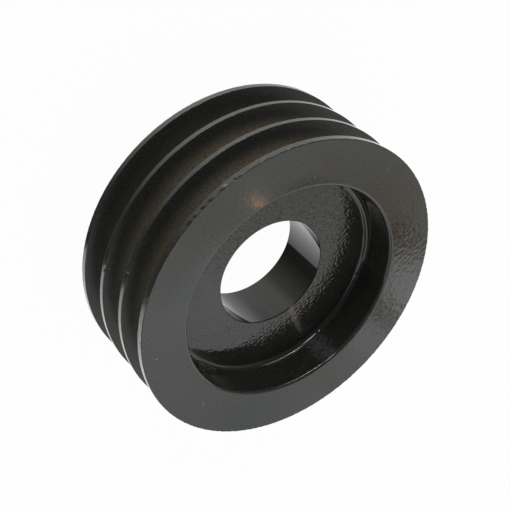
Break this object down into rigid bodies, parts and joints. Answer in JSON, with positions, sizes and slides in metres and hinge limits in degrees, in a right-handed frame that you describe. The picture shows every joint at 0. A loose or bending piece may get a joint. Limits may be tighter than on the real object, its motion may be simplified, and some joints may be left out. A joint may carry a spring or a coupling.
{
  "type": "three-groove pulley",
  "caption": "Cast V-belt pulley with parallel belt grooves round its rim, a recess in each end and a wide plain bore through its thick web, painted gloss black.",
  "frame": {"origin": "centre of the back end face, on the axis of rotation", "axes": "+Z along the axis of rotation, from the back end face to the front end face, where the deeper recess opens; X and Y are free, since the body is round"},
  "size_m": [0.163, 0.163, 0.0611],
  "materials": {
    "gloss_black_paint": "gloss black paint over turned and as-cast iron"
  },
  "bodies": {
    "root": {"pulley": "gloss_black_paint"}
  },
  "joints": []
}
